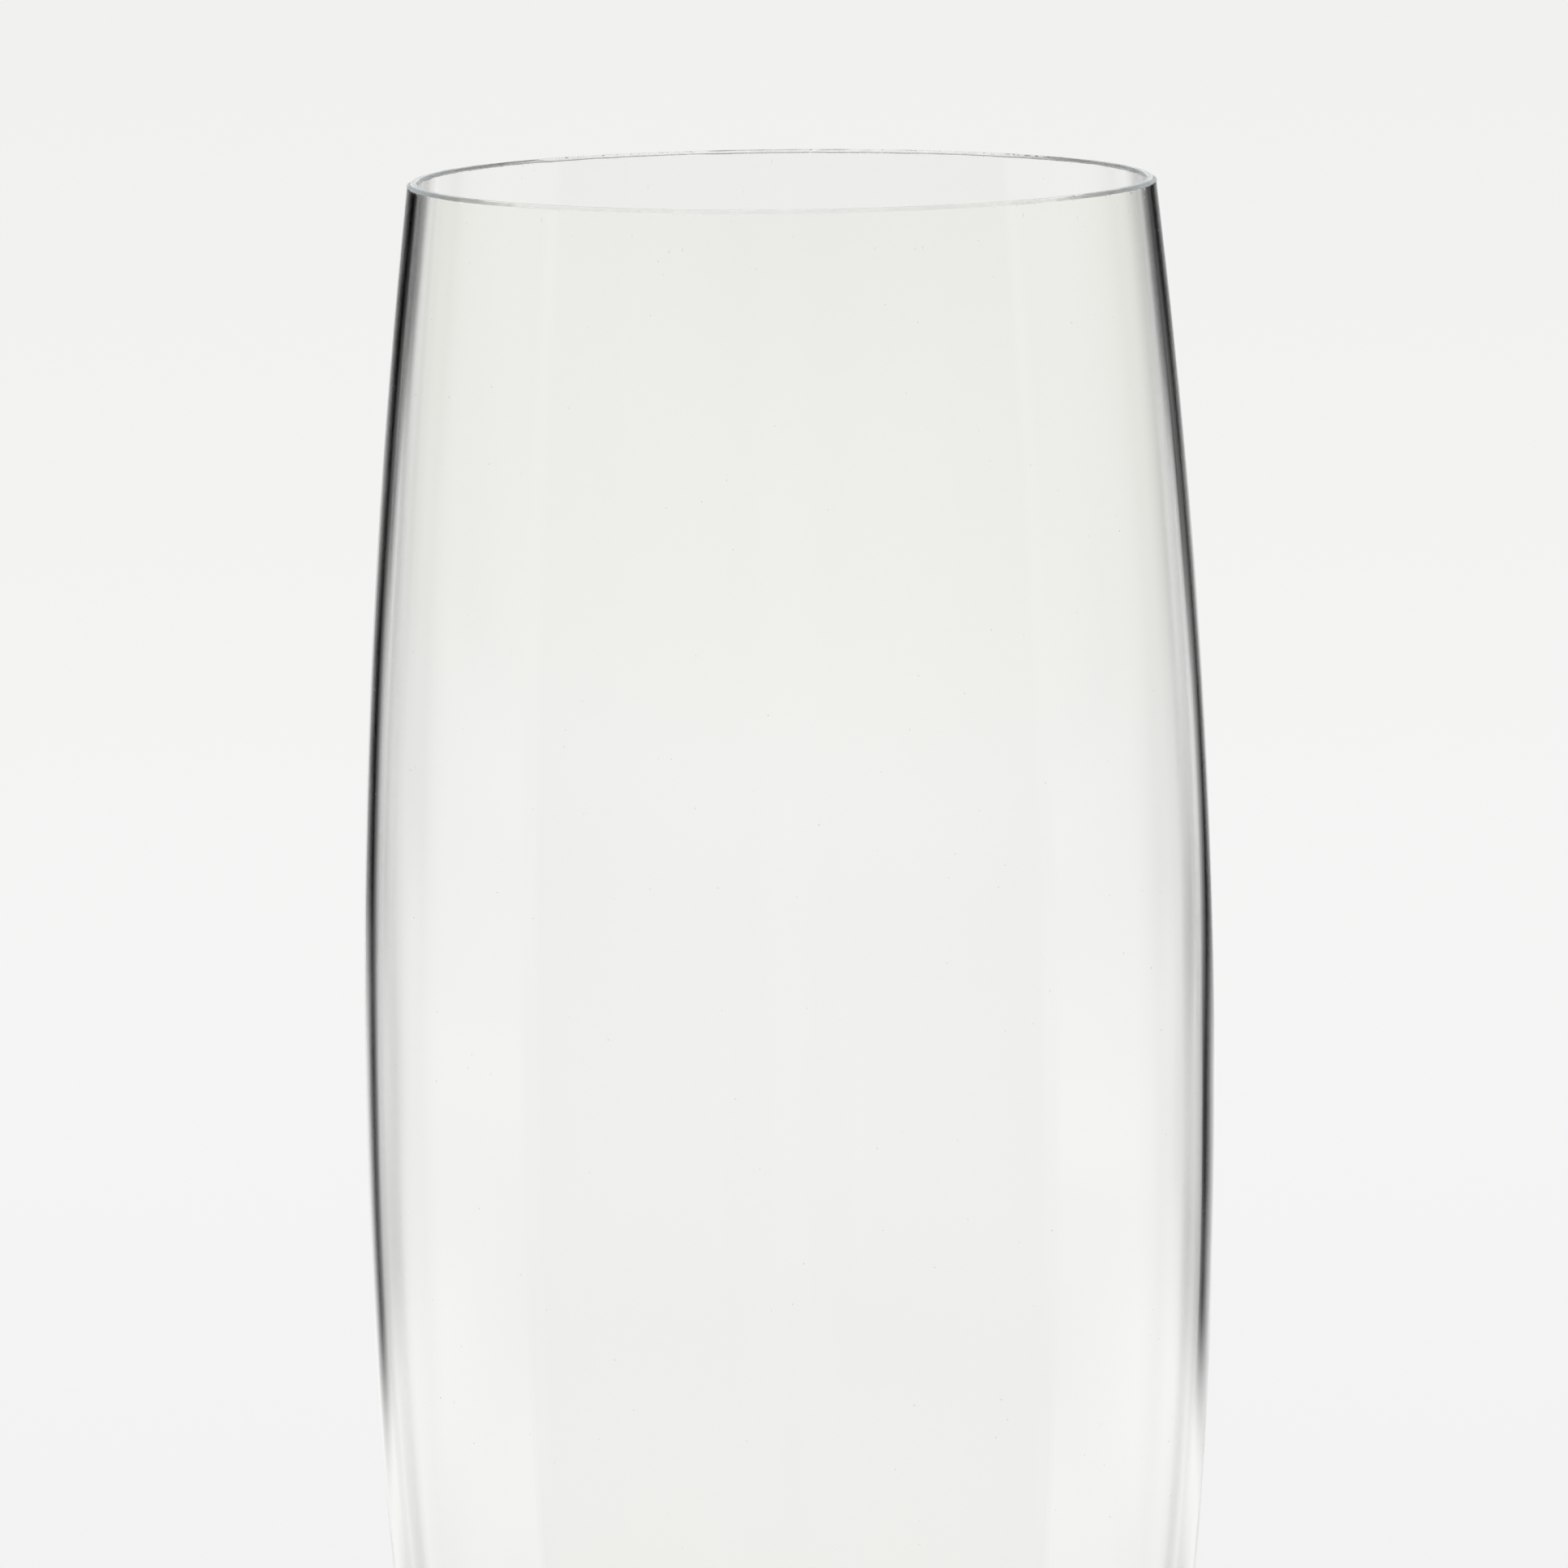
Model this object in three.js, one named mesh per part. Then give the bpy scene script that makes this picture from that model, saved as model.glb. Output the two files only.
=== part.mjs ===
// Champagne glass of clear crystal: a tall blown bowl with a cut and ground rim, a drawn stem and a
// spun foot, which are joined hot. Millimetres, +Z up. The origin is the centre of the resting plane.
import * as THREE from "three";

// Bowl
const RIM_DIAMETER = 50; // outside, at the lower edge of the outer bevel
const RIM_WALL = 0.75;
const OUTER_BEVEL_WIDTH = 0.31; // ground off the rim's outside, measured across the wall
const OUTER_BEVEL_FALL = 0.23; // the same, measured down the wall
const INNER_BEVEL = 0.15; // ground off the rim's inside, both ways
const RIM_LEAN = 6.5; // degrees that the wall leans in at the rim
const BELLY_DIAMETER = 57.2; // widest outside
const BELLY_WALL = 0.8;
const RIM_ABOVE_BELLY = 58.5;
const BELLY_ABOVE_STEM = 101.5;
const BELLY_FULLNESS = 0.555; // share of the fall below the belly that pulls the wall upright
const TAPER_FULLNESS = 0.25; // share of the same fall that pulls the wall straight above the neck
const TAPER_LEAN = 40; // degrees between the axis and the wall at the foot of the taper
const TAPER_WALL = 1.6; // at the foot of the taper, where the blown wall is thickest
const NECK_FILLET = 18; // radius of the hollow curve that runs the taper into the stem

// Stem
const STEM_LENGTH = 63; // between its two joints
const STEM_HEAD_DIAMETER = 7.6; // at the joint with the bowl
const STEM_WAIST_DIAMETER = 5.6;
const STEM_FOOT_DIAMETER = 7.4; // at the joint with the foot
const STEM_WAIST_HEIGHT = 25; // above the joint with the foot

// Foot
const FOOT_DIAMETER = 68;
const FOOT_EDGE = 2.2; // thickness of the fire-rounded edge
const FOOT_SLOPE = 5; // degrees that the upper side falls towards the edge
const FOOT_FILLET = 14; // radius of the hollow curve that runs the foot up into the stem
const FOOT_HOLLOW = 1.2; // rise of the underside in the middle
const BEARING_WIDTH = 4; // flat ring that the glass stands on

// Facets
const SEGMENTS = 48; // around every piece
const RIM_STEPS = 8;
const TAPER_STEPS = 14;
const FILLET_STEPS = 6;
const STEM_STEPS = 6;
const EDGE_STEPS = 6;
const HOLLOW_STEPS = 5;

const radians = THREE.MathUtils.degToRad;
const point = (radius, height) => new THREE.Vector2(radius, height);

const footHeight = heightOfFoot();

const glass = new THREE.Group();
glass.name = "champagne_glass";
glass.add(revolved("foot", footProfile(), 0));
glass.add(revolved("stem", stemProfile(), footHeight));
glass.add(revolved("bowl", bowlProfile(), footHeight + STEM_LENGTH));

export default glass;

// A named piece turned round the axis from its half section, standing on the given height.
function revolved(name, profile, height) {
  const geometry = new THREE.LatheGeometry(profile, SEGMENTS);
  geometry.rotateX(Math.PI / 2);
  const mesh = new THREE.Mesh(geometry, clearGlass());
  mesh.name = name;
  mesh.position.z = height;
  return mesh;
}

function clearGlass() {
  return new THREE.MeshStandardMaterial({
    color: 0xe9eeeb,
    roughness: 0.03,
    metalness: 0,
    transparent: true,
    opacity: 0.4,
  });
}

// Points along a round stretch, from one angle to the other, both in degrees.
function arcPoints(radius, height, arcRadius, from, to, steps) {
  const arc = new THREE.EllipseCurve(
    radius,
    height,
    arcRadius,
    arcRadius,
    radians(from),
    radians(to),
    to < from,
  );
  return arc.getPoints(steps);
}

// The inner side of a wall that follows a curve upwards, square to it at each step.
function insetPoints(curve, steps, wallAt) {
  const points = [];
  for (let i = 0; i <= steps; i++) {
    const t = i / steps;
    const along = curve.getTangent(t);
    const inward = point(-along.y, along.x);
    points.push(curve.getPoint(t).addScaledVector(inward, wallAt(t)));
  }
  return points;
}

// The outer wall below the belly: from the neck's fillet out along the taper and up to the belly.
function taperCurve() {
  const lean = radians(TAPER_LEAN);
  const neck = STEM_HEAD_DIAMETER / 2 + NECK_FILLET * (1 - Math.cos(lean));
  const start = NECK_FILLET * Math.sin(lean);
  const fall = BELLY_ABOVE_STEM - start;
  const pull = fall * TAPER_FULLNESS;
  const belly = BELLY_DIAMETER / 2;
  return new THREE.CubicBezierCurve(
    point(neck, start),
    point(neck + pull * Math.sin(lean), start + pull * Math.cos(lean)),
    point(belly, BELLY_ABOVE_STEM - fall * BELLY_FULLNESS),
    point(belly, BELLY_ABOVE_STEM),
  );
}

// The outer wall from the belly up to the outer bevel of the rim, an even cubic.
function rimCurve() {
  const edge = BELLY_ABOVE_STEM + RIM_ABOVE_BELLY - OUTER_BEVEL_FALL;
  const third = (edge - BELLY_ABOVE_STEM) / 3;
  const belly = BELLY_DIAMETER / 2;
  const rim = RIM_DIAMETER / 2;
  return new THREE.CubicBezierCurve(
    point(belly, BELLY_ABOVE_STEM),
    point(belly, BELLY_ABOVE_STEM + third),
    point(rim + third * Math.tan(radians(RIM_LEAN)), edge - third),
    point(rim, edge),
  );
}

// The upper end of the inner wall: it runs on straight to the lower edge of the inner bevel.
function innerEdge(wallEnd) {
  const edge = BELLY_ABOVE_STEM + RIM_ABOVE_BELLY - INNER_BEVEL;
  const rise = edge - wallEnd.y;
  return point(wallEnd.x - rise * Math.tan(radians(RIM_LEAN)), edge);
}

// The bowl, above its joint with the stem: up the outside, over the flat rim and its two bevels, and
// down the inside. The blown wall thickens slowly from the rim to the belly and fast at the foot of
// the taper, and the inside closes in a round bottom over solid glass.
function bowlProfile() {
  const { lerp } = THREE.MathUtils;
  const head = STEM_HEAD_DIAMETER / 2;
  const taper = taperCurve();
  const rim = rimCurve();
  const fillet = arcPoints(head + NECK_FILLET, 0, NECK_FILLET, 180, 180 - TAPER_LEAN, FILLET_STEPS);
  const outside = [
    ...fillet.slice(0, -1),
    ...taper.getPoints(TAPER_STEPS).slice(0, -1),
    ...rim.getPoints(RIM_STEPS),
  ];

  const insideTaper = insetPoints(taper, TAPER_STEPS, (t) => lerp(BELLY_WALL, TAPER_WALL, (1 - t) ** 3));
  const insideRim = insetPoints(rim, RIM_STEPS, (t) => lerp(BELLY_WALL, RIM_WALL, t));
  const rimInside = innerEdge(insideRim[RIM_STEPS]);
  const inside = [...insideTaper.slice(0, -1), ...insideRim.slice(0, -1), rimInside].reverse();
  const top = BELLY_ABOVE_STEM + RIM_ABOVE_BELLY;
  const groundTop = [
    point(RIM_DIAMETER / 2 - OUTER_BEVEL_WIDTH, top),
    point(rimInside.x + INNER_BEVEL, top),
  ];

  const last = inside[inside.length - 1];
  const bottomRadius = last.x / Math.cos(radians(TAPER_LEAN));
  const bottomCentre = last.y + bottomRadius * Math.sin(radians(TAPER_LEAN));
  const bottom = arcPoints(0, bottomCentre, bottomRadius, -TAPER_LEAN, -90, FILLET_STEPS);
  bottom[FILLET_STEPS].x = 0;

  return [point(0, 0), ...outside, ...groundTop, ...inside, ...bottom.slice(1)];
}

// The stem, above its joint with the foot: upright at both joints and slim at the waist between.
function stemProfile() {
  const foot = STEM_FOOT_DIAMETER / 2;
  const waist = STEM_WAIST_DIAMETER / 2;
  const head = STEM_HEAD_DIAMETER / 2;
  const lowerFlare = STEM_WAIST_HEIGHT / 3;
  const upperFlare = STEM_LENGTH - (STEM_LENGTH - STEM_WAIST_HEIGHT) / 3;
  const below = new THREE.CubicBezierCurve(
    point(foot, 0),
    point(foot, lowerFlare),
    point(waist, lowerFlare),
    point(waist, STEM_WAIST_HEIGHT),
  );
  const above = new THREE.CubicBezierCurve(
    point(waist, STEM_WAIST_HEIGHT),
    point(waist, upperFlare),
    point(head, upperFlare),
    point(head, STEM_LENGTH),
  );
  return [
    point(0, 0),
    ...below.getPoints(STEM_STEPS).slice(0, -1),
    ...above.getPoints(STEM_STEPS),
    point(0, STEM_LENGTH),
  ];
}

// Radius at which the foot's straight slope starts to curve up into the stem.
function slopeTop() {
  return STEM_FOOT_DIAMETER / 2 + FOOT_FILLET * (1 - Math.sin(radians(FOOT_SLOPE)));
}

// Height of the joint with the stem: the edge, the slope and the fillet on top of each other.
function heightOfFoot() {
  const slope = radians(FOOT_SLOPE);
  const edgeTop = FOOT_DIAMETER / 2 - FOOT_EDGE / 2;
  return FOOT_EDGE + (edgeTop - slopeTop()) * Math.tan(slope) + FOOT_FILLET * Math.cos(slope);
}

// The foot: from the middle of the hollow underside out to the bearing ring, round the edge, up the
// slope and along the fillet to the joint with the stem.
function footProfile() {
  const edgeCentre = FOOT_DIAMETER / 2 - FOOT_EDGE / 2;
  const hollow = edgeCentre - BEARING_WIDTH;
  const underside = [];
  for (let i = 0; i <= HOLLOW_STEPS; i++) {
    const out = i / HOLLOW_STEPS;
    underside.push(point(hollow * out, FOOT_HOLLOW * (1 - out ** 2)));
  }
  const edge = arcPoints(edgeCentre, FOOT_EDGE / 2, FOOT_EDGE / 2, -90, 90, EDGE_STEPS);
  const filletCentre = STEM_FOOT_DIAMETER / 2 + FOOT_FILLET;
  const fillet = arcPoints(filletCentre, footHeight, FOOT_FILLET, 270 - FOOT_SLOPE, 180, FILLET_STEPS);
  return [...underside, ...edge, ...fillet, point(0, footHeight)];
}
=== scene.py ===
import math
import random

import bpy
from mathutils import Matrix, Vector


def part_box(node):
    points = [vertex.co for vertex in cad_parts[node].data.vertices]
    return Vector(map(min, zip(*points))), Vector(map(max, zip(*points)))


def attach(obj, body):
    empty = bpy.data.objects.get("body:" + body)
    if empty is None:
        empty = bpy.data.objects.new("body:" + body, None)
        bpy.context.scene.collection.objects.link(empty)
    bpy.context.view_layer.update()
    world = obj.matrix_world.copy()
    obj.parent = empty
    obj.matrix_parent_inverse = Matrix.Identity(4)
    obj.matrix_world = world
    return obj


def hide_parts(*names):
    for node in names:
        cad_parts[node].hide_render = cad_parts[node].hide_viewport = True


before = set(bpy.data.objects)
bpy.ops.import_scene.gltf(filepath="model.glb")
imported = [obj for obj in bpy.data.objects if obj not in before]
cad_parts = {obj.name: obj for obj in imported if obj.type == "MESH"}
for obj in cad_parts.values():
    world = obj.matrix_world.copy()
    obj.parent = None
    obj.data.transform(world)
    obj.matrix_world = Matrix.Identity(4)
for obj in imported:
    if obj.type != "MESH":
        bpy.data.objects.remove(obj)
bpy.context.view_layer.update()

MM = 0.001

# Sizes of the glass, as in the solids
RIM_DIAMETER = 50 * MM
RIM_WALL = 0.75 * MM
RIM_LEAN = math.radians(6.5)
OUTER_BEVEL_WIDTH = 0.31 * MM
OUTER_BEVEL_FALL = 0.23 * MM
INNER_BEVEL = 0.15 * MM
BELLY_DIAMETER = 57.2 * MM
BELLY_WALL = 0.8 * MM
RIM_ABOVE_BELLY = 58.5 * MM
BELLY_FULLNESS = 0.555
TAPER_FULLNESS = 0.25
TAPER_LEAN = math.radians(40)
TAPER_WALL = 1.6 * MM
NECK_FILLET = 18 * MM
STEM_HEAD_DIAMETER = 7.6 * MM
STEM_WAIST_DIAMETER = 5.6 * MM
STEM_FOOT_DIAMETER = 7.4 * MM
STEM_WAIST_HEIGHT = 25 * MM
FOOT_DIAMETER = 68 * MM
FOOT_EDGE = 2.2 * MM
FOOT_SLOPE = math.radians(5)
FOOT_FILLET = 14 * MM
FOOT_HOLLOW = 1.2 * MM
BEARING_WIDTH = 4 * MM

# Heights of the joints, from the frame
FOOT_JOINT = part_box("foot")[1].z
STEM_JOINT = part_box("stem")[1].z
RIM_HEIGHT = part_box("bowl")[1].z
BELLY_HEIGHT = RIM_HEIGHT - RIM_ABOVE_BELLY

# Nicks and slight waves along the edges of the ground rim: how wide the rings at an edge are, how far
# ahead of it the plain wall ends, and the nicks, with their number on an edge and their share of depth
EDGE_BAND = 0.045 * MM
RIM_LEAD = 4 * EDGE_BAND
NICK_SEED = 11
NICK_WIDTH = (0.05 * MM, 0.18 * MM)
NICK_DEPTH = (0.006 * MM, 0.04 * MM)
OUTER_NICKS = (150, 1)
TOP_NICKS = (50, 0.5)
INNER_NICKS = (37, 0.2)
WAVE_SIZE = 0.003 * MM
WAVE_TURNS = (5, 9, 14, 23, 37, 58)

# Fineness of the turned meshes
SEGMENTS = 320
RIM_SEGMENTS = SEGMENTS * 8
CURVE_STEPS = 46
ARC_STEPS = 14
SHARP_ANGLE = math.radians(30)
# A ring nearer to the axis than this is a single point
ON_AXIS = 0.000001 * MM

# Finishes of the surface
WALL, GROUND, FUSED = range(3)


def bezier(start, first, second, end, steps):
    """Points along a cubic curve, both ends included."""
    points = []
    for i in range(steps + 1):
        t = i / steps
        u = 1 - t
        points.append(start * u**3 + first * 3 * u * u * t + second * 3 * u * t * t + end * t**3)
    return points


def arc(centre, radius, start, end, steps):
    """Points along a round stretch from one angle to the other, both ends included."""
    points = []
    for i in range(steps + 1):
        angle = start + (end - start) * i / steps
        points.append(centre + Vector((math.cos(angle), math.sin(angle))) * radius)
    return points


def inset(points, wall_at):
    """The inner side of a wall that follows the points upwards, square to them."""
    inner = []
    last = len(points) - 1
    for i, here in enumerate(points):
        along = (points[min(i + 1, last)] - points[max(i - 1, 0)]).normalized()
        inner.append(here + Vector((-along.y, along.x)) * wall_at(i / last))
    return inner


def blend(a, b, t):
    """The value between two others, at a share of the way."""
    return a + (b - a) * t


def towards(start, end, reach):
    """The point at a given distance on the way from one point to another."""
    return start + (end - start).normalized() * reach


def stretch(ring, k, count):
    """The points of a ring along one of so many equal stretches, both ends included."""
    step = len(ring) // count
    return [ring[(k * step + i) % len(ring)] for i in range(step + 1)]


def revolve(name, profile, finish_at=lambda i: WALL):
    """A closed mesh turned round the axis from a half section that starts and ends on the axis. A
    ring of the section is a point, with the number of its segments and its shift by angle."""
    vertices = []
    rings = []
    for point, segments, shift in profile:
        count = segments if point.x > ON_AXIS else 1
        rings.append(list(range(len(vertices), len(vertices) + count)))
        for k in range(count):
            angle = 2 * math.pi * k / count
            place = point + shift(angle) if shift else point
            vertices.append((place.x * math.cos(angle), place.x * math.sin(angle), place.y))
    faces = []
    finishes = []
    for i, (low, high) in enumerate(zip(rings, rings[1:])):
        count = min(len(low), len(high))
        if count == 1:
            count = max(len(low), len(high))
        for k in range(count):
            faces.append(stretch(low, k, count) + stretch(high, k, count)[::-1])
            finishes.append(finish_at(i))
    mesh = bpy.data.meshes.new(name)
    mesh.from_pydata(vertices, [], faces)
    mesh.validate()
    mesh.polygons.foreach_set("material_index", finishes)
    mesh.shade_smooth()
    mesh.set_sharp_from_angle(angle=SHARP_ANGLE)
    piece = bpy.data.objects.new(name, mesh)
    bpy.context.scene.collection.objects.link(piece)
    return piece


def plain(points):
    """Rings of the usual fineness, without shifts."""
    return [(point, SEGMENTS, None) for point in points]


def rim_rings(corners):
    """Fine rings over the edges of the ground rim. A corner comes with the points before and after
    it, the number of its nicks and how deep they are."""
    draw = random.Random(NICK_SEED)
    waves = [(turns, draw.uniform(0, 2 * math.pi)) for turns in WAVE_TURNS]

    def edge_shift(corner, before, after, count, depth_share):
        back = (before - corner).normalized()
        ahead = (after - corner).normalized()
        inward = (back + ahead).normalized()
        nicks = []
        for _ in range(count):
            place = draw.uniform(-math.pi, math.pi)
            half = draw.uniform(*NICK_WIDTH) / RIM_DIAMETER
            depth = blend(*NICK_DEPTH, draw.random() ** 2) * depth_share
            nicks.append((place, half, depth))

        def shift(angle):
            cut = 0
            for place, half, depth in nicks:
                away = abs(math.remainder(angle - place, 2 * math.pi)) / half
                if away < 1:
                    cut = max(cut, depth * (1 - away * away))
            wave = sum(math.sin(turns * angle + phase) for turns, phase in waves) * WAVE_SIZE
            return inward * cut + back * wave

        return shift

    rings = []
    for corner, before, after, count, depth_share in corners:
        shift = edge_shift(corner, before, after, count, depth_share)
        rings.append((towards(corner, before, EDGE_BAND), RIM_SEGMENTS, None))
        rings.append((corner, RIM_SEGMENTS, shift))
        rings.append((towards(corner, after, EDGE_BAND), RIM_SEGMENTS, None))
    return rings


def bowl_profile():
    """The rings below the rim, over it and inside the bowl, from the joint round to the inside bottom."""
    belly = BELLY_DIAMETER / 2
    rim = RIM_DIAMETER / 2
    head = STEM_HEAD_DIAMETER / 2
    edge = RIM_HEIGHT - OUTER_BEVEL_FALL

    fillet_centre = Vector((head + NECK_FILLET, STEM_JOINT))
    fillet = arc(fillet_centre, NECK_FILLET, math.pi, math.pi - TAPER_LEAN, ARC_STEPS)
    start = fillet[-1]
    fall = BELLY_HEIGHT - start.y
    lean = Vector((math.sin(TAPER_LEAN), math.cos(TAPER_LEAN)))
    taper = bezier(
        start,
        start + lean * fall * TAPER_FULLNESS,
        Vector((belly, BELLY_HEIGHT - fall * BELLY_FULLNESS)),
        Vector((belly, BELLY_HEIGHT)),
        CURVE_STEPS,
    )
    third = (edge - BELLY_HEIGHT) / 3
    upper = bezier(
        Vector((belly, BELLY_HEIGHT)),
        Vector((belly, BELLY_HEIGHT + third)),
        Vector((rim + third * math.tan(RIM_LEAN), edge - third)),
        Vector((rim, edge)),
        CURVE_STEPS,
    )
    inner_taper = inset(taper, lambda t: blend(BELLY_WALL, TAPER_WALL, (1 - t) ** 3))
    inner_upper = inset(upper, lambda t: blend(BELLY_WALL, RIM_WALL, t))
    rise = RIM_HEIGHT - INNER_BEVEL - inner_upper[-1].y
    inner_edge = inner_upper[-1] + Vector((-math.tan(RIM_LEAN), 1)) * rise
    outer_edge = upper[-1]
    top_outside = Vector((rim - OUTER_BEVEL_WIDTH, RIM_HEIGHT))
    top_inside = Vector((inner_edge.x + INNER_BEVEL, RIM_HEIGHT))

    last = inner_taper[0]
    radius = last.x / math.cos(TAPER_LEAN)
    centre = Vector((0, last.y + radius * math.sin(TAPER_LEAN)))
    bottom = arc(centre, radius, -TAPER_LEAN, -math.pi / 2, ARC_STEPS)
    bottom[-1].x = 0

    outside = fillet[:-1] + taper[:-1] + upper[:-1]
    inside = (inner_taper[:-1] + inner_upper[:-1])[::-1]
    below_rim = [Vector((0, STEM_JOINT)), *outside, towards(outer_edge, outside[-1], RIM_LEAD)]
    over_rim = rim_rings((
        (outer_edge, outside[-1], top_outside, *OUTER_NICKS),
        (top_outside, outer_edge, top_inside, *TOP_NICKS),
        (top_inside, top_outside, inner_edge, *TOP_NICKS),
        (inner_edge, top_inside, inside[0], *INNER_NICKS),
    ))
    in_bowl = [towards(inner_edge, inside[0], RIM_LEAD), *inside, *bottom[1:]]
    return plain(below_rim), over_rim, plain(in_bowl)


def stem_profile():
    """The stem from its foot joint up, with its slim waist."""
    foot = STEM_FOOT_DIAMETER / 2
    waist = STEM_WAIST_DIAMETER / 2
    head = STEM_HEAD_DIAMETER / 2
    waist_height = FOOT_JOINT + STEM_WAIST_HEIGHT
    lower_flare = FOOT_JOINT + STEM_WAIST_HEIGHT / 3
    upper_flare = STEM_JOINT - (STEM_JOINT - waist_height) / 3
    below = bezier(
        Vector((foot, FOOT_JOINT)),
        Vector((foot, lower_flare)),
        Vector((waist, lower_flare)),
        Vector((waist, waist_height)),
        CURVE_STEPS,
    )
    above = bezier(
        Vector((waist, waist_height)),
        Vector((waist, upper_flare)),
        Vector((head, upper_flare)),
        Vector((head, STEM_JOINT)),
        CURVE_STEPS,
    )
    return plain([Vector((0, FOOT_JOINT)), *below[:-1], *above, Vector((0, STEM_JOINT))])


def foot_profile():
    """The foot from its hollow underside out, round its edge and up the fillet."""
    edge_radius = FOOT_EDGE / 2
    edge_centre = FOOT_DIAMETER / 2 - edge_radius
    hollow = edge_centre - BEARING_WIDTH
    underside = []
    for i in range(ARC_STEPS + 1):
        out = i / ARC_STEPS
        underside.append(Vector((hollow * out, FOOT_HOLLOW * (1 - out * out))))
    edge = arc(Vector((edge_centre, edge_radius)), edge_radius, -math.pi / 2, math.pi / 2, ARC_STEPS)
    fillet_centre = Vector((STEM_FOOT_DIAMETER / 2 + FOOT_FILLET, FOOT_JOINT))
    fillet = arc(fillet_centre, FOOT_FILLET, math.pi * 1.5 - FOOT_SLOPE, math.pi, CURVE_STEPS)
    return plain([*underside, *edge, *fillet, Vector((0, FOOT_JOINT))])


# Angles in degrees
HALF_TURN = 180
STRAIGHT_DOWN = -90


class Nodes:
    """Short ways to add nodes to a material or a world."""

    def __init__(self, owner):
        owner.use_nodes = True
        self.nodes = owner.node_tree.nodes
        self.links = owner.node_tree.links

    def add(self, kind, **settings):
        """A new node with its settings."""
        node = self.nodes.new(kind)
        for name, value in settings.items():
            setattr(node, name, value)
        return node

    def feed(self, socket, value):
        """Links another socket to this one, or sets it to a number or colour."""
        if isinstance(value, bpy.types.NodeSocket):
            self.links.new(value, socket)
        else:
            socket.default_value = value

    def math(self, operation, *values):
        """The result of a sum with sockets or numbers."""
        node = self.add("ShaderNodeMath", operation=operation)
        for socket, value in zip(node.inputs, values):
            self.feed(socket, value)
        return node.outputs["Value"]

    def fade(self, value, low, high, first=0, last=1, shape="SMOOTHSTEP"):
        """A step from the first number to the last while the value rises from low to high."""
        node = self.add("ShaderNodeMapRange", interpolation_type=shape)
        self.feed(node.inputs["Value"], value)
        node.inputs["From Min"].default_value = low
        node.inputs["From Max"].default_value = high
        node.inputs["To Min"].default_value = first
        node.inputs["To Max"].default_value = last
        return node.outputs["Result"]

    def ramp(self, angle, lowest, stops):
        """A colour by angle, from stops in degrees within half a turn of the lowest."""
        node = self.add("ShaderNodeValToRGB")
        elements = node.color_ramp.elements
        while len(elements) > len(stops):
            elements.remove(elements[-1])
        while len(elements) < len(stops):
            elements.new(0.5)
        for element, (degrees, colour) in zip(elements, stops):
            element.position = (degrees - lowest) / HALF_TURN
            element.color = (*colour, 1)
        self.links.new(self.fade(angle, lowest, lowest + HALF_TURN, shape="LINEAR"), node.inputs["Fac"])
        return node.outputs["Color"]

    def mix(self, share, first, second, blend="MIX"):
        """A mix of two colours. The node's colour sockets share their names with others, so they go by
        number."""
        node = self.add("ShaderNodeMix", data_type="RGBA", blend_type=blend)
        self.feed(node.inputs["Factor"], share)
        self.feed(node.inputs[6], first)
        self.feed(node.inputs[7], second)
        return node.outputs[2]


GLASS_INDEX = 1.52
FUSED_INDEX = 1
CLEAN = (1, 1, 1, 1)

# Dust all over: how far apart and how big, with its colour and roughness
DUST_SPACING = 2.2 * MM
DUST_RADIUS = 0.06 * MM
DUST_COLOUR = (0.66, 0.65, 0.63, 1)
DUST_ROUGHNESS = 0.6

# Hairline marks that run down from the rim
HAIR_SPACING = 0.75 * MM
HAIR_RADIUS = 0.035 * MM
HAIR_STRETCH = 7
HAIR_REACH = 5 * MM

# Grit left along the lower edge of the outer bevel, in patches where a noise is above these levels
GRIT_SPACING = 0.2 * MM
GRIT_RADIUS = 0.05 * MM
GRIT_REACH = 0.14 * MM
GRIT_PATCH = 4 * MM
GRIT_PATCH_LEVELS = (0.4, 0.55)

# Faint waves of the blown wall, and the wear of the ring that the foot stands on
BLOWN_WAVE = 16 * MM
BLOWN_DEPTH = 0.004 * MM
WORN_HEIGHT = 0.06 * MM
WORN_ROUGHNESS = 0.3
SCRATCH_SIZE = 0.8 * MM
SCRATCH_LEVELS = (0.35, 0.65)
SCRATCH_SHARES = (0.3, 1)

# Roughness of the ground bevels and of the smoother flat top between them
BEVEL_ROUGHNESS = (0.36, 0.52)
TOP_ROUGHNESS = (0.08, 0.16)
GRIND_SIZE = 0.7 * MM
GRIND_LEVELS = (0.3, 0.7)
TOP_DEPTH = (0.05 * MM, 0.015 * MM)


def glass_shader(name, index):
    """A clean glass of one refractive index, with its node kit and its shader."""
    material = bpy.data.materials.new(name)
    kit = Nodes(material)
    shader = kit.nodes["Principled BSDF"]
    shader.inputs["IOR"].default_value = index
    shader.inputs["Transmission Weight"].default_value = 1
    shader.inputs["Base Color"].default_value = CLEAN
    shader.inputs["Roughness"].default_value = 0
    return material, kit, shader


def place_and_height(kit):
    """The place on the piece, and its height alone."""
    place = kit.add("ShaderNodeTexCoord").outputs["Object"]
    split = kit.add("ShaderNodeSeparateXYZ")
    kit.feed(split.inputs["Vector"], place)
    return place, split.outputs["Z"]


def noise(kit, place, size):
    """A soft noise with patches of about one size, between 0 and 1."""
    node = kit.add("ShaderNodeTexNoise")
    node.inputs["Scale"].default_value = 1 / size
    kit.feed(node.inputs["Vector"], place)
    return node.outputs[0]


def specks(kit, place, spacing, radius):
    """Small round specks strewn over a surface, 1 inside and 0 outside."""
    node = kit.add("ShaderNodeTexVoronoi")
    node.inputs["Scale"].default_value = 1 / spacing
    kit.feed(node.inputs["Vector"], place)
    return kit.fade(node.outputs["Distance"], radius / spacing / 2, radius / spacing, 1, 0)


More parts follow.
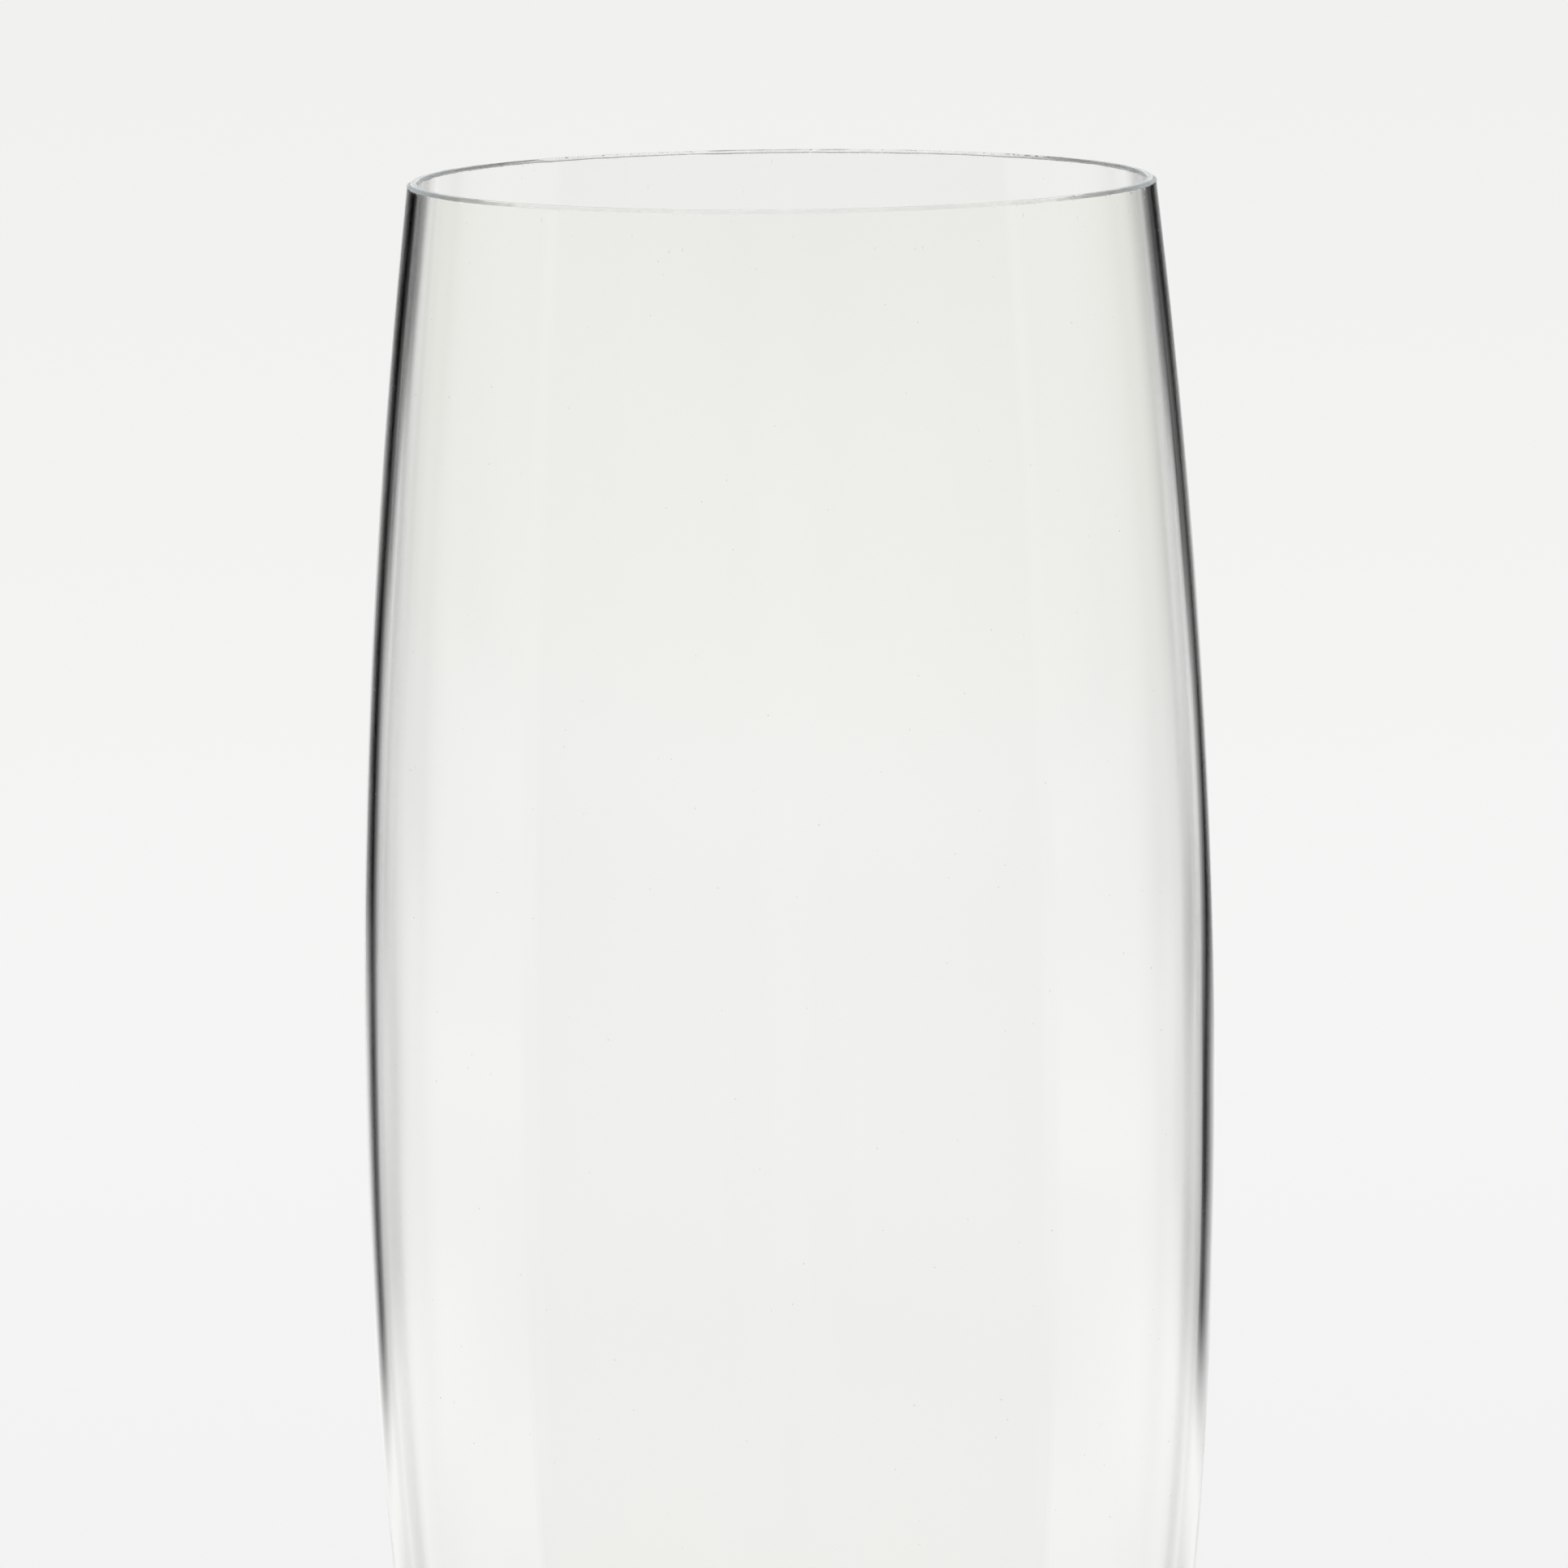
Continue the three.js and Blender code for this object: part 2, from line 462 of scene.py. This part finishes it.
def rim_grit(kit, place, height):
    """Dark grit in patches along the lower edge of the outer bevel."""
    edge = RIM_HEIGHT - OUTER_BEVEL_FALL
    near = kit.fade(height, edge - GRIT_REACH, edge - GRIT_REACH / 2)
    below = kit.fade(height, edge, edge + GRIT_REACH / 2, 1, 0)
    patches = kit.fade(noise(kit, place, GRIT_PATCH), *GRIT_PATCH_LEVELS)
    grit = kit.math("MULTIPLY", specks(kit, place, GRIT_SPACING, GRIT_RADIUS), patches)
    return kit.math("MULTIPLY", grit, kit.math("MULTIPLY", near, below))


def clear_glass():
    """Clear blown glass with faint waves, a little dust, hairline marks by the rim and a worn foot."""
    material, kit, shader = glass_shader("clear_glass", GLASS_INDEX)
    place, height = place_and_height(kit)
    dust = specks(kit, place, DUST_SPACING, DUST_RADIUS)
    upright = kit.add("ShaderNodeVectorMath", operation="MULTIPLY")
    kit.feed(upright.inputs[0], place)
    upright.inputs[1].default_value = (1, 1, 1 / HAIR_STRETCH)
    by_rim = kit.fade(height, RIM_HEIGHT - HAIR_REACH, RIM_HEIGHT - HAIR_REACH / 2)
    hairs = kit.math("MULTIPLY", specks(kit, upright.outputs["Vector"], HAIR_SPACING, HAIR_RADIUS), by_rim)
    marks = kit.math("MAXIMUM", kit.math("MAXIMUM", dust, hairs), rim_grit(kit, place, height))
    kit.feed(shader.inputs["Base Color"], kit.mix(marks, CLEAN, DUST_COLOUR))
    scratches = kit.fade(noise(kit, place, SCRATCH_SIZE), *SCRATCH_LEVELS, *SCRATCH_SHARES)
    worn = kit.math("MULTIPLY", kit.fade(height, 0, WORN_HEIGHT, WORN_ROUGHNESS, 0), scratches)
    roughness = kit.math("MAXIMUM", kit.math("MULTIPLY", marks, DUST_ROUGHNESS), worn)
    kit.feed(shader.inputs["Roughness"], roughness)
    waves = kit.add("ShaderNodeBump")
    waves.inputs["Distance"].default_value = BLOWN_DEPTH
    kit.feed(waves.inputs["Height"], noise(kit, place, BLOWN_WAVE))
    kit.feed(shader.inputs["Normal"], waves.outputs["Normal"])
    return material


def ground_glass():
    """The ground faces of the rim: dull bevels, with a smoother flat top between them."""
    material, kit, shader = glass_shader("ground_glass", GLASS_INDEX)
    place, height = place_and_height(kit)
    grinding = noise(kit, place, GRIND_SIZE)
    bevel = kit.fade(grinding, *GRIND_LEVELS, *BEVEL_ROUGHNESS)
    top = kit.fade(grinding, *GRIND_LEVELS, *TOP_ROUGHNESS)
    on_top = kit.fade(height, RIM_HEIGHT - TOP_DEPTH[0], RIM_HEIGHT - TOP_DEPTH[1])
    rise = kit.math("MULTIPLY", kit.math("SUBTRACT", top, bevel), on_top)
    kit.feed(shader.inputs["Roughness"], kit.math("ADD", bevel, rise))
    kit.feed(shader.inputs["Base Color"], kit.mix(rim_grit(kit, place, height), CLEAN, DUST_COLOUR))
    return material


def fused_glass():
    """The hot joints, where glass runs into glass without a surface between."""
    material, _, shader = glass_shader("fused_glass", FUSED_INDEX)
    shader.inputs["Alpha"].default_value = 0
    return material


# The camera: the side of the picture and its focal length in pixels, and where the camera stands
PHOTO_SIDE = 1932
PHOTO_FOCUS = 13840
SENSOR_WIDTH = 36
CAMERA_RANGE = (0.01, 50)
CAMERA_DISTANCE = 0.75
CAMERA_RISE = math.radians(4.68)
CAMERA_PITCH = math.radians(7.765)
CAMERA_ROLL = math.radians(-0.55)
CAMERA_SIDE = -0.23 * MM


def make_camera():
    """A camera in front of the glass, a little above its rim and looking down."""
    data = bpy.data.cameras.new("camera")
    data.sensor_width = SENSOR_WIDTH
    data.lens = SENSOR_WIDTH * PHOTO_FOCUS / PHOTO_SIDE
    data.clip_start, data.clip_end = CAMERA_RANGE
    camera = bpy.data.objects.new("camera", data)
    bpy.context.scene.collection.objects.link(camera)
    away = CAMERA_DISTANCE * math.cos(CAMERA_RISE)
    above = CAMERA_DISTANCE * math.sin(CAMERA_RISE)
    place = Matrix.Translation((CAMERA_SIDE, -away, RIM_HEIGHT + above))
    look = Vector((0, math.cos(CAMERA_PITCH), -math.sin(CAMERA_PITCH)))
    turn = look.to_track_quat("-Z", "Y").to_matrix().to_4x4()
    camera.matrix_world = place @ turn @ Matrix.Rotation(CAMERA_ROLL, 4, "Z")
    bpy.context.scene.camera = camera
    return camera


camera = make_camera()

# The rim is ground from the ring at its outer edge to the ring at its inner edge
below_rim, over_rim, in_bowl = bowl_profile()
ground_from = len(below_rim) + 1
ground_to = len(below_rim) + len(over_rim) - 2
bowl_rings = below_rim + over_rim + in_bowl


def bowl_finish(i):
    """The finish of the bowl between one ring and the next."""
    if i == 0:
        return FUSED
    return GROUND if ground_from <= i < ground_to else WALL


stem_rings = stem_profile()
foot_rings = foot_profile()
pieces = {
    "bowl": revolve("glass_bowl", bowl_rings, bowl_finish),
    "stem": revolve("glass_stem", stem_rings, lambda i: FUSED if i in (0, len(stem_rings) - 2) else WALL),
    "foot": revolve("glass_foot", foot_rings, lambda i: FUSED if i == len(foot_rings) - 2 else WALL),
}
finishes = (clear_glass(), ground_glass(), fused_glass())
for node, piece in pieces.items():
    for material in finishes:
        piece.data.materials.append(material)
    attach(piece, "root")
    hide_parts(node)


# What the camera sees behind the glass, by height in degrees, and the even light on the floor
BACKDROP = ((-12, (0.89, 0.89, 0.89)), (-8.7, (0.915, 0.915, 0.91)), (-4, (0.88, 0.88, 0.866)))
AMBIENT = (0.62, 0.62, 0.62)


def make_world():
    """A pale backdrop behind the glass, and a soft even light on the floor."""
    world = bpy.data.worlds.new("studio")
    bpy.context.scene.world = world
    kit = Nodes(world)
    place = kit.add("ShaderNodeTexCoord")
    split = kit.add("ShaderNodeSeparateXYZ")
    kit.links.new(place.outputs["Generated"], split.inputs["Vector"])
    height = kit.math("DEGREES", kit.math("ARCSINE", split.outputs["Z"]))
    ambient = kit.nodes["Background"]
    ambient.inputs["Color"].default_value = (*AMBIENT, 1)
    seen = kit.add("ShaderNodeBackground")
    kit.links.new(kit.ramp(height, STRAIGHT_DOWN, BACKDROP), seen.inputs["Color"])
    path = kit.add("ShaderNodeLightPath")
    mix = kit.add("ShaderNodeMixShader")
    kit.links.new(path.outputs["Is Camera Ray"], mix.inputs["Fac"])
    kit.links.new(ambient.outputs["Background"], mix.inputs[1])
    kit.links.new(seen.outputs["Background"], mix.inputs[2])
    kit.links.new(mix.outputs["Shader"], kit.nodes["World Output"].inputs["Surface"])


# The light tent: its size and fineness, the tints of its light, and its sky, by angle as in the bands
TENT_RADIUS = 9
TENT_SEGMENTS = 96
NEUTRAL = (1, 1, 0.99)
WARM = (1, 1.003, 0.985)
BEIGE = (1, 0.995, 0.94)
SKY_BLUE = (0.76, 0.93, 1.04)
LOW_SKY = ((0, 1.7), (50, 1.7), (75, 1.0))
HIGH_SKY = ((0, 1.8), (15, 2.2), (25, 3.0), (50, 3.0), (75, 1.0))
# Bands of the tent from the ground up: height in degrees, tint, and brightness by the angle from the
# middle of the backdrop, also in degrees. A black flag stands on each side of the backdrop, with a lamp
# box beyond it, and a bright sky is above.
TENT_BANDS = (
    (-38, BEIGE, ((0, 0.98), (10, 0.94), (20, 0.9), (45, 1.0), (102, 1.0))),
    (-30, NEUTRAL, ((0, 0.84), (13, 0.86), (18, 0.3), (30, 0.2), (45, 0.8), (55, 1.0), (102, 1.0))),
    (-18.5, NEUTRAL, (
        (0, 0.86), (13, 0.9), (17, 0.35), (22, 0.15), (30, 0.15), (36, 0.6), (50, 0.85), (102, 0.75),
    )),
    (-13.3, NEUTRAL, ((0, 0.9), (14, 0.92), (24, 0.92), (38, 0.94), (54, 0.88), (70, 0.9), (102, 0.6))),
    (-11.5, NEUTRAL, (
        (0, 0.91), (8, 0.95), (10, 1.0), (13, 0.85), (16, 0.45), (20, 0.1), (22, 0), (24.3, 0), (26, 0.35),
        (30, 0.55), (42, 0.52), (48, 0.7), (62, 0.85), (102, 0.7),
    )),
    (-9.5, NEUTRAL, (
        (0, 0.92), (10, 0.89), (12, 0.7), (14, 0.5), (17, 0.3), (20, 0), (24.5, 0), (27, 0.3), (28.5, 0.6),
        (34, 0.7), (38, 0.8), (42, 0.7), (47, 0.5), (54, 0.75), (62, 0.9), (102, 0.9),
    )),
    (-8, NEUTRAL, (
        (0, 0.915), (10, 0.86), (11, 0.6), (12.5, 0.05), (16, 0), (24.5, 0), (27, 0.38), (31, 0.5),
        (33, 1.0), (36, 0.75), (42, 0.7), (48, 0.57), (58, 0.83), (102, 0.78),
    )),
    (-6, WARM, (
        (0, 0.9), (6, 0.87), (9, 0.6), (11, 0.6), (12, 0.4), (13.5, 0.1), (14.5, 0), (24.3, 0), (26.5, 0.26),
        (28.5, 0.42), (31.5, 0.5), (32.5, 1.0), (34, 1.1), (36, 0.78), (42, 0.85), (46, 0.66), (54, 0.55),
        (70, 0.78), (102, 0.7),
    )),
    (-4, WARM, (
        (0, 0.89), (5.5, 0.87), (7, 0.8), (9.5, 0.6), (10.5, 0.2), (11.5, 0), (25, 0), (27.5, 0.28),
        (29.5, 0.1), (32, 0), (33, 0.4), (34.5, 1.1), (36, 1.0), (38, 0.62), (40, 0.7), (42, 1.15),
        (44, 1.05), (47, 0.7), (54, 0.6), (70, 0.72), (102, 0.9),
    )),
    (-2, WARM, (
        (0, 0.89), (5.5, 0.87), (8, 0.65), (9.5, 0.5), (10.5, 0.15), (11.5, 0), (26, 0), (28.5, 0.1),
        (30, 0.18), (32, 0), (36, 0.12), (37.5, 0.35), (39, 0.75), (40.5, 1.15), (42.5, 1.2), (44.5, 0.9),
        (48, 0.68), (58, 0.7), (80, 0.6), (102, 0.8),
    )),
    (5, NEUTRAL, ((0, 1.0), (3, 1.0), (7, 1.9), (20, 1.8), (32, 0.6), (102, 0.6))),
    (9, NEUTRAL, ((0, 1.05), (3, 1.05), (8, 1.9), (40, 1.6), (75, 0.9))),
    (13, SKY_BLUE, LOW_SKY),
    (20, SKY_BLUE, LOW_SKY),
    (25, BEIGE, HIGH_SKY),
    (33, BEIGE, HIGH_SKY),
    (44, NEUTRAL, ((0, 1.1), (102, 0.9))),
)
# The flag on the right is narrower than the left one high up and wider low down, and ends higher: the
# shifts of its two edges in degrees, where these lie, how far out the shifts reach, the heights between
# which they turn, the lift of its lower end, and how far to the right a direction has to point
RIGHT_HIGH_SHIFTS = (0, 3.7)
RIGHT_LOW_SHIFTS = (2, -2.4)
RIGHT_EDGES = (12, 24)
RIGHT_REACH = (40, 70)
RIGHT_TURN = (-9.6, -6.6)
RIGHT_LIFT = 0.45
RIGHT_LIFT_FROM = (-10.7, -10)
RIGHT_SIDE = (0.05, 0.15)
# The fill behind the camera: brightness by height, and the angle at which it starts
FILL = (
    (STRAIGHT_DOWN, 0.35), (-17, 0.33), (-14, 0.42), (-11, 0.6), (-5, 0.66), (-3, 0.8), (4, 0.84), (6, 0.7),
    (9, 0.5), (18, 0.6), (24, 0.9),
)
FILL_FROM = (102.4, 102.8)
# At the height of the rim, the sides and the fill are yellower than the backdrop
YELLOW = (1, 1.003, 0.66)
YELLOW_FROM = (38, 60)
YELLOW_ABOVE = (-9, 5)
YELLOW_BELOW = (12, 20)


def make_tent():
    """A light tent round the glass that turns with the camera. It shows in the glass alone."""
    bpy.ops.mesh.primitive_uv_sphere_add(
        segments=TENT_SEGMENTS, ring_count=TENT_SEGMENTS // 2, radius=TENT_RADIUS
    )
    tent = bpy.context.object
    tent.name = "light_tent"
    material = bpy.data.materials.new("light_tent")
    kit = Nodes(material)
    kit.nodes.remove(kit.nodes["Principled BSDF"])
    place = kit.add("ShaderNodeTexCoord")
    direction = kit.add("ShaderNodeVectorMath", operation="NORMALIZE")
    split = kit.add("ShaderNodeSeparateXYZ")
    kit.links.new(place.outputs["Object"], direction.inputs[0])
    kit.links.new(direction.outputs["Vector"], split.inputs["Vector"])
    aside = kit.math("ABSOLUTE", split.outputs["X"])
    azimuth = kit.math("DEGREES", kit.math("ARCTAN2", aside, split.outputs["Y"]))
    height = kit.math("DEGREES", kit.math("ARCSINE", split.outputs["Z"]))

    # On the right the bands are read at a shifted angle and height
    right = kit.fade(split.outputs["X"], *RIGHT_SIDE)
    high_share = kit.fade(height, *RIGHT_TURN)
    high = kit.math("MULTIPLY", kit.fade(azimuth, *RIGHT_EDGES, *RIGHT_HIGH_SHIFTS), high_share)
    low_share = kit.math("SUBTRACT", 1, high_share)
    low = kit.math("MULTIPLY", kit.fade(azimuth, *RIGHT_EDGES, *RIGHT_LOW_SHIFTS), low_share)
    within = kit.math("MULTIPLY", right, kit.fade(azimuth, *RIGHT_REACH, 1, 0))
    azimuth = kit.math("ADD", azimuth, kit.math("MULTIPLY", kit.math("ADD", high, low), within))
    lift = kit.math("MULTIPLY", right, kit.fade(height, *RIGHT_LIFT_FROM, RIGHT_LIFT, 0))
    height = kit.math("SUBTRACT", height, lift)

    def tinted(stops, tint):
        return [(degrees, [level * share for share in tint]) for degrees, level in stops]

    light = None
    for i, (level, tint, stops) in enumerate(TENT_BANDS):
        band = kit.ramp(azimuth, 0, tinted(stops, tint))
        light = kit.mix(kit.fade(height, TENT_BANDS[i - 1][0], level), light, band) if light else band
    fill = kit.ramp(height, STRAIGHT_DOWN, tinted(FILL, NEUTRAL))
    light = kit.mix(kit.fade(azimuth, *FILL_FROM), light, fill)
    yellow = kit.math("MULTIPLY", kit.fade(azimuth, *YELLOW_FROM), kit.fade(height, *YELLOW_ABOVE))
    yellow = kit.math("MULTIPLY", yellow, kit.fade(height, *YELLOW_BELOW, 1, 0))
    light = kit.mix(yellow, light, (*YELLOW, 1), "MULTIPLY")
    glow = kit.add("ShaderNodeEmission")
    kit.links.new(light, glow.inputs["Color"])
    kit.links.new(glow.outputs["Emission"], kit.nodes["Material Output"].inputs["Surface"])
    material.cycles.emission_sampling = "NONE"
    tent.data.materials.append(material)
    tent.parent = camera
    tent.location = (0, 0, -CAMERA_DISTANCE)
    tent.rotation_euler = (CAMERA_PITCH - math.pi / 2, 0, 0)
    tent.visible_camera = False
    tent.visible_diffuse = False
    tent.visible_shadow = False


# The floor: it is solid round the foot and fades out from there, a hair below the foot
FLOOR_RADIUS = 0.16
FLOOR_SOLID = 0.06
FLOOR_COLOUR = (0.85, 0.85, 0.84)
FLOOR_ROUGHNESS = 0.9
FLOOR_GAP = 0.05 * MM
FLOOR_SEGMENTS = 128


def make_floor():
    """A pale round floor that fades out towards its edge."""
    bpy.ops.mesh.primitive_circle_add(vertices=FLOOR_SEGMENTS, radius=FLOOR_RADIUS, fill_type="NGON")
    floor = bpy.context.object
    floor.name = "floor"
    floor.location.z = -FLOOR_GAP
    material = bpy.data.materials.new("floor_paint")
    kit = Nodes(material)
    shader = kit.nodes["Principled BSDF"]
    shader.inputs["Base Color"].default_value = (*FLOOR_COLOUR, 1)
    shader.inputs["Roughness"].default_value = FLOOR_ROUGHNESS
    shader.inputs["Specular IOR Level"].default_value = 0
    place = kit.add("ShaderNodeTexCoord")
    reach = kit.add("ShaderNodeVectorMath", operation="LENGTH")
    kit.links.new(place.outputs["Object"], reach.inputs[0])
    fade = kit.fade(reach.outputs["Value"], FLOOR_SOLID, FLOOR_RADIUS, 1, 0)
    kit.links.new(fade, shader.inputs["Alpha"])
    floor.data.materials.append(material)


# The lamp overhead, in metres and watts
LAMP_HEIGHT = 2.6
LAMP_SIZE = 2.4
LAMP_POWER = 33

# Light runs far along the inside of a glass wall
LIGHT_BOUNCES = 64


def make_lamp():
    """A wide soft lamp overhead."""
    data = bpy.data.lights.new("overhead", "AREA")
    data.shape = "DISK"
    data.size = LAMP_SIZE
    data.energy = LAMP_POWER
    lamp = bpy.data.objects.new("overhead", data)
    lamp.location = (0, 0, LAMP_HEIGHT)
    lamp.visible_camera = False
    lamp.visible_glossy = False
    lamp.visible_transmission = False
    bpy.context.scene.collection.objects.link(lamp)


make_world()
make_tent()
make_floor()
make_lamp()

scene = bpy.context.scene
scene.view_settings.view_transform = "Standard"
scene.cycles.max_bounces = LIGHT_BOUNCES
scene.cycles.transmission_bounces = LIGHT_BOUNCES
scene.cycles.glossy_bounces = LIGHT_BOUNCES
